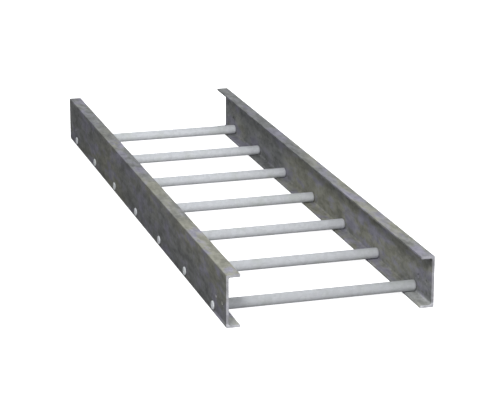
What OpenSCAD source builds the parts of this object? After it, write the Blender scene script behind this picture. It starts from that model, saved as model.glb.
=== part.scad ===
// Cable ladder section: two C-shaped side rails, flanges turned inward,
// joined by round tube rungs whose necked ends pass through the rail webs
// and are upset into a round head outside.
// +X runs across the ladder, +Y along its rails, +Z up.
// The origin is at the middle of the underside.

/* [Ladder] */
// Width over the outer faces of the two side rails
ladder_w = 600; // [300:10:900]
// Number of rungs
rung_count = 7; // [2:1:10]
// Distance from one rung's centre to the next
rung_pitch = 300; // [200:10:400]
// Distance from the end of the rails to the centre of the nearest rung
rung_end = 125; // [70:5:200]

/* [Side rail] */
// Height of the side rail
rail_h = 150; // [100:5:200]
// Width of the flanges, over the web
flange_w = 40; // [30:1:60]
// Thickness of the web and the flanges
rail_t = 7; // [4:0.5:9]
// Radius of the outside corners
corner_r = 3; // [1:0.5:6]
// Radius of the inside corners between web and flange
root_r = 5; // [3:0.5:7]
// Radius of the inner edge along the toe of each flange
toe_r = 3; // [1:0.5:3.5]

/* [Splice holes] */
// Diameter of the splice bolt holes
splice_d = 13; // [9:0.5:16]
// Number of splice holes at each end of a rail
splice_count = 2; // [1:1:3]
// Distance from the end of the rail to the centre of the first splice hole
splice_end = 40; // [20:1:50]
// Distance from one splice hole's centre to the next
splice_pitch = 60; // [30:1:75]
// Height of the splice holes above the underside of the rail
splice_z = 60; // [55:1:80]

/* [Rung] */
// Outside diameter of the rung tube
rung_d = 32; // [29:0.5:42]
// Wall of the rung tube
rung_wall = 2.5; // [2:0.1:4]
// Gap between the rung and the bottom flange
rung_gap = 0.35; // [0.3:0.05:2]
// Width of the flat shoulder that bears on the inside of the web
seat_w = 1.5; // [1:0.25:3]
// Gap all round the neck in the hole of the web
neck_gap = 0.15; // [0.1:0.05:0.4]
// Thickness of the head upset on the neck outside the web
head_t = 5; // [3:0.5:7]
// How far the head stands out all round the neck
head_lip = 3.5; // [2:0.25:5]
// Diameter of the vent hole through each end of the rung
vent_d = 6; // [4:0.5:9]

/* [Hidden] */
$fn = 96;
side_of = [-1, 1];                                    // -X end, +X end
rail_len = 2 * rung_end + (rung_count - 1) * rung_pitch;
web_x = ladder_w / 2;                                 // outer face of a web
seat_x = web_x - rail_t;                              // inner face of a web
rung_z = rail_t + rung_gap + rung_d / 2;              // rung axis over the underside
shoulder_r = root_r + rung_gap;                       // shoulder clears the rail's inside corner
neck_d = rung_d - 2 * (shoulder_r + seat_w);
bore_round = max(shoulder_r - rung_wall, rung_wall / 4);
head_d = neck_d + 2 * head_lip;
cut_over = rail_t;                                    // how far a cut runs past the web
rail_colour = [0.56, 0.57, 0.57];
rung_colour = [0.80, 0.80, 0.83];
rungs = [for (i = [1 : rung_count]) str("rung_", i)];

// Centre of rung i along the ladder, counted from the -Y end
function rung_y(i) = (i - (rung_count + 1) / 2) * rung_pitch;

// Block whose two corners at x = 0 are rounded
module channel_block(width, height, corner) {
    translate([corner, 0]) square([width - corner, height]);
    translate([0, corner]) square([width, height - 2 * corner]);
    for (z = [corner, height - corner])
        translate([corner, z]) circle(corner);
}

// Cutter that rounds the inner edge of the bottom flange's toe
module toe_cut() {
    translate([flange_w - toe_r, rail_t - toe_r])
        difference() {
            square(toe_r + cut_over);
            circle(toe_r);
        }
}

// Section of the rail: web at x = 0, flanges towards +x
module rail_section() {
    difference() {
        channel_block(flange_w, rail_h, corner_r);
        translate([rail_t, rail_t])
            channel_block(flange_w, rail_h - 2 * rail_t, root_r);
        toe_cut();
        translate([0, rail_h]) mirror([0, 1]) toe_cut();
    }
}

// Round cutter through the web of the -X rail
module web_hole(diameter, y, z) {
    translate([rail_t / 2 - web_x, y, z])
        rotate([0, 90, 0])
            cylinder(d = diameter, h = rail_t + 2 * cut_over, center = true);
}

// Rail on the -X side, with its rung holes and its splice holes
module rail() {
    difference() {
        translate([-web_x, 0, 0])
            rotate([90, 0, 0])
                linear_extrude(height = rail_len, center = true)
                    rail_section();
        for (i = [1 : rung_count])
            web_hole(neck_d + 2 * neck_gap, rung_y(i), rung_z);
        for (end = side_of, i = [0 : splice_count - 1])
            web_hole(splice_d, end * (rail_len / 2 - splice_end - i * splice_pitch), splice_z);
    }
}

module side_rail_left() {
    color(rail_colour) rail();
}

module side_rail_right() {
    color(rail_colour) mirror([1, 0, 0]) rail();
}

// Profile of a round bar along +y, both ends rounded at the rim
module bar_profile(radius, half, corner) {
    translate([0, -half]) square([radius - corner, 2 * half]);
    translate([0, corner - half]) square([radius, 2 * (half - corner)]);
    for (end = side_of)
        translate([radius - corner, end * (half - corner)]) circle(corner);
}

// Profile of a head: flat across, with a full round rim
module head_profile(y) {
    translate([0, y]) square([head_d / 2 - head_t / 2, head_t]);
    translate([head_d / 2 - head_t / 2, y + head_t / 2]) circle(head_t / 2);
}

// Profile of the rung: tube, shoulders, necks and heads
module rung_profile() {
    difference() {
        union() {
            bar_profile(rung_d / 2, seat_x, shoulder_r);
            translate([0, -web_x - head_t / 2]) square([neck_d / 2, 2 * web_x + head_t]);
            head_profile(web_x);
            head_profile(-web_x - head_t);
        }
        bar_profile(rung_d / 2 - rung_wall, seat_x - rung_wall, bore_round);
        translate([0, -web_x - 2 * head_t])
            square([vent_d / 2, 2 * web_x + 4 * head_t]);
    }
}

module rung(y) {
    color(rung_colour)
        translate([0, y, rung_z])
            rotate([0, 0, -90])
                rotate([-90, 0, 0])
                    rotate_extrude()
                        rung_profile();
}

side_rail_left();
side_rail_right();
for (i = [1 : rung_count])
    rung(rung_y(i));
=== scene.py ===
import math

import bpy
from mathutils import Matrix, Vector


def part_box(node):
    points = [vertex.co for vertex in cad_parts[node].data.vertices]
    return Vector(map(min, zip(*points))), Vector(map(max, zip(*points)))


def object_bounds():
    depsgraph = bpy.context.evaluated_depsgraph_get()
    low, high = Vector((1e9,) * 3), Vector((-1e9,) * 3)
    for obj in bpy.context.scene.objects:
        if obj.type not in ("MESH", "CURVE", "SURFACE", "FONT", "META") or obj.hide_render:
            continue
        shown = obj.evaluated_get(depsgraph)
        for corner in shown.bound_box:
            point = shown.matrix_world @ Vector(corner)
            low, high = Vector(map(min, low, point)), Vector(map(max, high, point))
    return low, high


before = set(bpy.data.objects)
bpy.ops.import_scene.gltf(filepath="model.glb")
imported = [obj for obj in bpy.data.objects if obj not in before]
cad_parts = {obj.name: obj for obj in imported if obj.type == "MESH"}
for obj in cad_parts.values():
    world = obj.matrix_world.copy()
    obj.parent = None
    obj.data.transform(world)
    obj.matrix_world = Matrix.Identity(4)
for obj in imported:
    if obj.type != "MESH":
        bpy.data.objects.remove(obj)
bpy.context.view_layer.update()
print("cable ladder: frame loaded,", len(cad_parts), "pieces")

mm = 0.001
ladderLow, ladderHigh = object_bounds()
railNames = ["side_rail_left", "side_rail_right"]
rungNames = [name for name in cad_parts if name.startswith("rung_")]
rungNames.sort(key=lambda name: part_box(name)[0].y)  # from the near end to the far one


class Shade:  # wraps one socket, so that shader maths reads as plain expressions
    def __init__(self, finish, socket):
        self.finish, self.socket = finish, socket

    def __add__(self, other):
        return self.finish.maths("ADD", self, other)

    def __sub__(self, other):
        return self.finish.maths("SUBTRACT", self, other)

    def __rsub__(self, other):
        return self.finish.maths("SUBTRACT", other, self)

    def __mul__(self, other):
        return self.finish.maths("MULTIPLY", self, other)

    def __abs__(self):
        return self.finish.maths("ABSOLUTE", self)

    __radd__, __rmul__ = __add__, __mul__

    def rise(self, start, end):  # 0 up to start, 1 from end on, smooth between
        return self.finish.node("MapRange", {"interpolation_type": "SMOOTHSTEP"},
                                {"Value": self, "From Min": start, "From Max": end})


class Finish:  # the nodes of one procedural material, or of the sky
    def __init__(self, holder):
        self.holder = holder
        holder.use_nodes = True
        self.tree = holder.node_tree
        self.tree.nodes.clear()
        self.place = self.node("TexCoord", output="Object")
        self.x, self.y, self.z = self.split(self.place)

    def node(self, kind, settings=None, sockets=None, output=0):
        made = self.tree.nodes.new("ShaderNode" + kind)
        for name, value in (settings or {}).items():
            setattr(made, name, value)
        for key, value in (sockets or {}).items():
            if isinstance(value, Shade):
                self.tree.links.new(value.socket, made.inputs[key])
            else:
                made.inputs[key].default_value = value
        return Shade(self, made.outputs[output]) if made.outputs else made

    def maths(self, operation, first, second=0.0):
        return self.node("Math", {"operation": operation}, {0: first, 1: second})

    def split(self, vector):
        apart = self.node("SeparateXYZ", sockets={0: vector}).socket.node
        return [Shade(self, socket) for socket in apart.outputs]

    def facing(self):  # how far the surface looks along x, y and z, from -1 to 1
        return self.split(self.node("TexCoord", output="Normal"))

    def stretched(self, *scale):  # the place, with its own scale along each axis
        return self.node("VectorMath", {"operation": "MULTIPLY"}, {0: self.place, 1: scale})

    def noise(self, scale, detail=3.0, rough=0.5, place=None):  # from 0 to 1, mostly near 0.5
        return self.node("TexNoise", {}, {"Vector": place or self.place, "Scale": scale,
                                          "Detail": detail, "Roughness": rough})

    def streaks(self, perMetre, rough=0.6):  # noise with its own number to the metre on each axis
        return self.noise(1.0, rough=rough, place=self.stretched(*perMetre))

    def crystals(self, size, place=None):  # three values that are the same all over one crystal
        return self.split(self.node("TexVoronoi", {}, {"Vector": place or self.place,
                                                       "Scale": 1 / size}, "Color"))

    def softened(self, radius):  # the normal, rounded at the edges
        return self.node("Bevel", {"samples": 4}, {"Radius": radius})

    def mixed(self, factor, first, second):  # two colours
        return self.node("Mix", {"data_type": "RGBA"}, {0: factor, 6: first, 7: second}, 2)

    def tinted(self, colour, value):  # a colour made lighter or darker
        both = self.node("CombineXYZ", sockets={0: value, 1: value, 2: value})
        return self.node("VectorMath", {"operation": "MULTIPLY"}, {0: colour, 1: both})

    def zinc(self, piece, colour, rough, height, normal):  # the shader of one piece
        bump = self.node("Bump", {}, {"Height": height, "Distance": piece["bump"], "Normal": normal})
        shader = self.node("BsdfPrincipled", {}, {"Base Color": colour, "Roughness": rough,
                                                  "Metallic": piece["metal"], "Normal": bump,
                                                  "Specular IOR Level": piece["gloss"]})
        self.node("OutputMaterial", {}, {0: shader})
        return self.holder


def dress(names, material):
    for name in names:
        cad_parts[name].material_slots[0].material = material


# A depth is the whole step from a mark's darkest to its lightest, as a share of the zinc's tone.
rail = {
    "zinc": (0.228, 0.234, 0.233, 1),        # dull grey zinc of the flanges and the inside
    "zincWarm": (0.244, 0.244, 0.204, 1),    # tint of the lighter clouds
    "zincCool": (0.220, 0.216, 0.256, 1),    # tint of the lighter patches
    "cutZinc": (0.43, 0.43, 0.46, 1),        # brighter zinc on the sawn ends and the worn edges
    "warmSpan": (0.42, 0.62),                # cloud noise at which the warm tint starts and is full
    "coolSpan": (0.48, 0.62),                # patch noise at which the cool tint starts and is full
    "outside": 0.67,                         # painted shade: tone of the darkened outside of the web
    "outsideSpan": (0.25, 0.9),              # how squarely it looks outwards where the painted shade starts and is full
    "spangle": 10 * mm,                      # size of the zinc crystals
    "spangleDepth": 0.20,
    "spangleBend": 6 * mm,                   # how far the crystals' edges wander
    "bends": 60.0,                           # how often they do, to the metre
    "cloud": 180 * mm,                       # size of the lighter and darker clouds
    "cloudDepth": 0.26,
    "patch": 50 * mm,                        # size of the patches in the clouds
    "patchDepth": 0.32,
    "blotch": 17 * mm,                       # size of the small dull blotches
    "blotchDepth": 0.32,
    "markSpan": (0.35, 0.65),                # noise at which a cloud, patch or blotch starts and is full
    "drawnOut": 0.35,                        # the marks are drawn out along the rail where this is under 1
    "rollMarks": (260, 5, 260),              # to the metre across, along and up the rail
    "rollDepth": 0.16,
    "specks": 700.0,                         # to the metre
    "speckDepth": 0.14,
    "paintedLight": 0.75,                             # painted light: how much brighter the lowest part of the rails is at the near end
    "paintedLightLength": 130 * mm,
    "paintedLightFade": 15 * mm,
    "paintedLightTop": (9 * mm, 16 * mm),             # heights over the underside where the painted light starts to end and has ended
    "cutSpan": (0.8 * mm, 0.3 * mm),         # from the end of the rail, where the cut zinc starts and is full
    "cutShare": 0.75,                        # how much of it covers the end
    "sawMarks": (900, 20, 120),              # to the metre across, along and up the rail
    "sawDepth": 0.5,
    "edge": 0.8 * mm,                        # how far the edges are softened
    "wornSpan": (0.01, 0.2),                 # turn of the edge at which the wear starts and is full
    "wornPatchSpan": (0.3, 0.6),             # patch noise at which the wear starts and is full
    "wornShare": 0.5,                        # how much of the cut zinc shows where the wear is full
    "rough": 0.78,
    "roughSpangle": 0.10,                    # how much the crystals, the clouds and the wear change that
    "roughCloud": 0.18,
    "roughWorn": 0.1,
    "grains": 220.0,                         # to the metre
    "bump": 0.25 * mm,
    "bumpGrain": 0.5,                        # shares of the bump
    "bumpSpeck": 0.22,
    "bumpRoll": 0.3,
    "bumpSpangle": 0.12,
    "metal": 0.12,
    "gloss": 0.25,
}


def railFinish():
    f = Finish(bpy.data.materials.new("rail_zinc_finish"))
    bend = f.node("TexNoise", {}, {"Vector": f.place, "Scale": rail["bends"], "Detail": 2.0}, "Color")
    bend = f.node("VectorMath", {"operation": "SCALE"}, {0: bend, "Scale": rail["spangleBend"]})
    bent = f.node("VectorMath", {"operation": "ADD"}, {0: f.place, 1: bend})
    crystal, otherCrystal, _ = f.crystals(rail["spangle"], bent)
    drawnOut = f.stretched(1, rail["drawnOut"], 1)
    cloud = f.noise(1 / rail["cloud"], detail=4.0, rough=0.55, place=drawnOut)
    patch = f.noise(1 / rail["patch"], detail=4.0, rough=0.6, place=drawnOut)
    blotch = f.noise(1 / rail["blotch"], rough=0.6, place=drawnOut)
    rolled = f.streaks(rail["rollMarks"])
    speck = f.noise(rail["specks"], detail=2.0, rough=0.6)
    tone = (1 + rail["spangleDepth"] * (crystal - 0.5) + rail["rollDepth"] * (rolled - 0.5)
            + rail["speckDepth"] * (speck - 0.5))
    for mark, depth in ((cloud, "cloudDepth"), (patch, "patchDepth"), (blotch, "blotchDepth")):
        tone = tone + rail[depth] * (mark.rise(*rail["markSpan"]) - 0.5)

    # painted shade: the faces of the webs that look outwards are made darker
    outwardPaintedShade = (f.facing()[0] * f.maths("SIGN", f.x)).rise(*rail["outsideSpan"])
    tone = tone * (1 - (1 - rail["outside"]) * outwardPaintedShade)

    # painted light on the bottom flanges at the near end
    paintedLightEnd = ladderLow.y + rail["paintedLightLength"]
    pastPaintedLight = f.y.rise(paintedLightEnd - rail["paintedLightFade"], paintedLightEnd + rail["paintedLightFade"])
    tone = tone * (1 + rail["paintedLight"] * (1 - pastPaintedLight) * (1 - f.z.rise(*rail["paintedLightTop"])))

    colour = f.mixed(cloud.rise(*rail["warmSpan"]), rail["zinc"], rail["zincWarm"])
    colour = f.mixed(patch.rise(*rail["coolSpan"]), colour, rail["zincCool"])
    cutStart, cutFull = rail["cutSpan"]
    cutEnd = abs(f.y).rise(ladderHigh.y - cutStart, ladderHigh.y - cutFull)
    sawn = f.streaks(rail["sawMarks"], rough=0.7)
    cutFactor = cutEnd * (rail["cutShare"] + rail["sawDepth"] * (sawn - 0.5))
    colour = f.mixed(cutFactor, colour, rail["cutZinc"])

    softened = f.softened(rail["edge"])
    flat = f.node("NewGeometry", output="Normal")
    alike = f.node("VectorMath", {"operation": "DOT_PRODUCT"}, {0: softened, 1: flat}, "Value")
    worn = (1 - alike).rise(*rail["wornSpan"]) * patch.rise(*rail["wornPatchSpan"])
    colour = f.mixed(rail["wornShare"] * worn, colour, rail["cutZinc"])

    rough = (rail["rough"] + rail["roughSpangle"] * (otherCrystal - 0.5)
             + rail["roughCloud"] * (cloud - 0.5) - rail["roughWorn"] * worn)
    height = (rail["bumpGrain"] * f.noise(rail["grains"], rough=0.55) + rail["bumpSpeck"] * speck
              + rail["bumpRoll"] * rolled + rail["bumpSpangle"] * crystal)
    return f.zinc(rail, f.tinted(colour, tone), rough, height, softened)


dress(railNames, railFinish())
print("cable ladder: side rails finished")

rung = {
    "zinc": (0.682, 0.700, 0.727, 1),        # brighter, newer zinc of the drawn tube
    "zincDull": (0.574, 0.599, 0.592, 1),    # the same, where it has dulled in clouds
    "dullSpan": (0.45, 0.7),                 # cloud noise at which the dull zinc starts and is full
    "spangle": 9 * mm,
    "spangleDepth": 0.12,
    "cloud": 70 * mm,
    "cloudDepth": 0.30,
    "drawMarks": (4, 420, 420),              # to the metre along, across and up the rung
    "drawDepth": 0.18,
    "specks": 900.0,                         # to the metre
    "speckDepth": 0.10,
    "head": 1.00,                            # tone of the hammered heads
    "headSpan": (-1 * mm, 0.5 * mm),         # from the outside of the web, where they start and are full
    "nearRungDarker": 0.06,                          # how much darker the rung at the near end is
    "toneRiseToFar": 0.17,                         # how much the tone rises from the middle to the far end
    "paintedTopShade": 0.16,                          # painted shade: how much darker the upper side is
    "paintedTopShadeSpan": (-0.3, 0.9),               # how far it looks up where the painted shade starts and is full
    "edge": 0.8 * mm,
    "rough": 0.66,
    "roughSpangle": 0.08,
    "roughCloud": 0.16,
    "roughDraw": 0.10,
    "grains": 260.0,                         # to the metre
    "bump": 0.15 * mm,
    "bumpDraw": 0.4,
    "bumpGrain": 0.3,
    "bumpSpeck": 0.2,
    "bumpSpangle": 0.1,
    "metal": 0.12,
    "gloss": 0.3,
}


def rungFinish():
    f = Finish(bpy.data.materials.new("rung_zinc_finish"))
    crystal = f.crystals(rung["spangle"])[0]
    cloud = f.noise(1 / rung["cloud"], detail=4.0, rough=0.6)
    drawn = f.streaks(rung["drawMarks"])
    speck = f.noise(rung["specks"], detail=2.0, rough=0.6)
    tone = (1 + rung["spangleDepth"] * (crystal - 0.5) + rung["cloudDepth"] * (cloud - 0.5)
            + rung["drawDepth"] * (drawn - 0.5) + rung["speckDepth"] * (speck - 0.5))

    nearRung, nextRung = [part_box(name) for name in rungNames[:2]]
    pastNear = f.y.rise(nearRung[1].y, nextRung[0].y)
    # painted shade on the upper side of the rungs
    paintedShadeAbove = f.facing()[2].rise(*rung["paintedTopShadeSpan"])
    tube = ((1 - rung["nearRungDarker"] * (1 - pastNear)) * (1 + rung["toneRiseToFar"] / ladderHigh.y * f.y)
            * (1 - rung["paintedTopShade"] * paintedShadeAbove))
    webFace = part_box(railNames[1])[1].x
    headStart, headFull = rung["headSpan"]
    head = abs(f.x).rise(webFace + headStart, webFace + headFull)
    tone = tone * (tube * (1 - head) + rung["head"] * head)

    colour = f.mixed(cloud.rise(*rung["dullSpan"]), rung["zinc"], rung["zincDull"])
    rough = (rung["rough"] + rung["roughSpangle"] * (crystal - 0.5)
             + rung["roughCloud"] * (cloud - 0.5) + rung["roughDraw"] * (drawn - 0.5))
    height = (rung["bumpDraw"] * drawn + rung["bumpGrain"] * f.noise(rung["grains"])
              + rung["bumpSpeck"] * speck + rung["bumpSpangle"] * crystal)
    return f.zinc(rung, f.tinted(colour, tone), rough, height, f.softened(rung["edge"]))


dress(rungNames, rungFinish())
print("cable ladder: rungs finished")

studio = {
    "floorSize": 60.0,
    "floorGap": 0.5 * mm,                    # between the floor and the ladder's underside
    "floorColour": (0.80, 0.80, 0.80, 1),
    "floorMottle": (0.78, 0.78, 0.78, 1),
    "mottles": 3.0,                          # to the metre
    "mottleSpan": (0.3, 0.7),                # noise at which a mottle starts and is full
    "floorRough": 0.9,
    "floorGlow": 0.80,
    "floorBounce": (0.38, 0.38, 0.38, 1),    # what the floor throws back on the ladder
    "skyLow": (0.215, 0.215, 0.22, 1),
    "skyHigh": (0.83, 0.84, 0.86, 1),
    "skySpan": (0.0, 0.8),                   # heights between which the sky brightens, the zenith at 1
    "white": (1, 1, 1, 1),
    "boxPlace": (-1.3, -2.6, 2.8),           # the softbox stands in front of the near end
    "boxSize": 0.7,
    "boxPower": 55.0,
    "frontFrom": (-0.08, -0.98, 0.16),       # where the low light in front comes from
    "frontAngle": math.radians(18),          # the wider, the softer
    "frontStrength": 0.64,
    "backFrom": (0.80, 0.50, 0.28),          # a fill for the sides turned away
    "backAngle": math.radians(40),
    "backStrength": 1.25,
}


def makeFloor():
    size = studio["floorSize"] / 2
    mesh = bpy.data.meshes.new("floor")
    mesh.from_pydata([(-size, -size, 0), (size, -size, 0), (size, size, 0), (-size, size, 0)],
                     [], [(0, 1, 2, 3)])
    floor = bpy.data.objects.new("floor", mesh)
    floor.location.z = -studio["floorGap"]
    bpy.context.scene.collection.objects.link(floor)
    f = Finish(bpy.data.materials.new("floor_finish"))
    mottle = f.noise(studio["mottles"]).rise(*studio["mottleSpan"])
    seen = f.node("BsdfPrincipled", {}, {
        "Base Color": f.mixed(mottle, studio["floorColour"], studio["floorMottle"]),
        "Roughness": studio["floorRough"], "Emission Color": studio["white"],
        "Emission Strength": studio["floorGlow"]})
    bounce = f.node("BsdfDiffuse", {}, {"Color": studio["floorBounce"]})
    straight = f.node("LightPath", output="Is Camera Ray")
    f.node("OutputMaterial", {}, {0: f.node("MixShader", {}, {0: straight, 1: bounce, 2: seen})})
    mesh.materials.append(f.holder)


def makeSky():
    world = bpy.data.worlds.new("studio_sky")
    bpy.context.scene.world = world
    f = Finish(world)
    height = f.split(f.node("TexCoord", output="Generated"))[2]
    glow = f.mixed(height.rise(*studio["skySpan"]), studio["skyLow"], studio["skyHigh"])
    straight = f.node("LightPath", output="Is Camera Ray")
    glow = f.mixed(straight, glow, studio["white"])  # seen past the floor, the sky is plain white
    f.node("OutputWorld", {}, {0: f.node("Background", {}, {"Color": glow})})


def hang(light, place):  # aimed at the ladder's middle, and for a sun only the direction counts
    lamp = bpy.data.objects.new(light.name, light)
    lamp.location = place
    lamp.rotation_euler = Vector(place).to_track_quat("Z", "Y").to_euler()
    bpy.context.scene.collection.objects.link(lamp)


def makeLights():
    box = bpy.data.lights.new("softbox", "AREA")
    box.energy, box.size = studio["boxPower"], studio["boxSize"]
    hang(box, studio["boxPlace"])
    for side in ("front", "back"):
        fill = bpy.data.lights.new(side + "light", "SUN")
        fill.energy, fill.angle = studio[side + "Strength"], studio[side + "Angle"]
        hang(fill, studio[side + "From"])


view = {
    "place": (-1.647, -5.666, 1.831),
    "yaw": math.radians(16.93),              # turned from +Y towards +X
    "pitch": math.radians(17.135),           # tipped down
    "roll": math.radians(0.215),
    "lens": 137.8,                           # in mm, as the sensor's width is
    "sensor": 36.0,
}


def makeCamera():
    forward = Vector((math.sin(view["yaw"]) * math.cos(view["pitch"]),
                      math.cos(view["yaw"]) * math.cos(view["pitch"]), -math.sin(view["pitch"])))
    level = Vector((math.cos(view["yaw"]), -math.sin(view["yaw"]), 0))
    upright = level.cross(forward)
    right = math.cos(view["roll"]) * level + math.sin(view["roll"]) * upright
    up = right.cross(forward)
    lens = bpy.data.cameras.new("camera")
    lens.sensor_width, lens.lens = view["sensor"], view["lens"]
    camera = bpy.data.objects.new("camera", lens)
    camera.matrix_world = Matrix.Translation(view["place"]) @ Matrix(
        (right, up, -forward)).transposed().to_4x4()
    bpy.context.scene.collection.objects.link(camera)
    bpy.context.scene.camera = camera


makeFloor()
makeSky()
makeLights()
makeCamera()
bpy.context.scene.view_settings.view_transform = "Standard"
print("cable ladder: floor, sky, lights and camera in place")
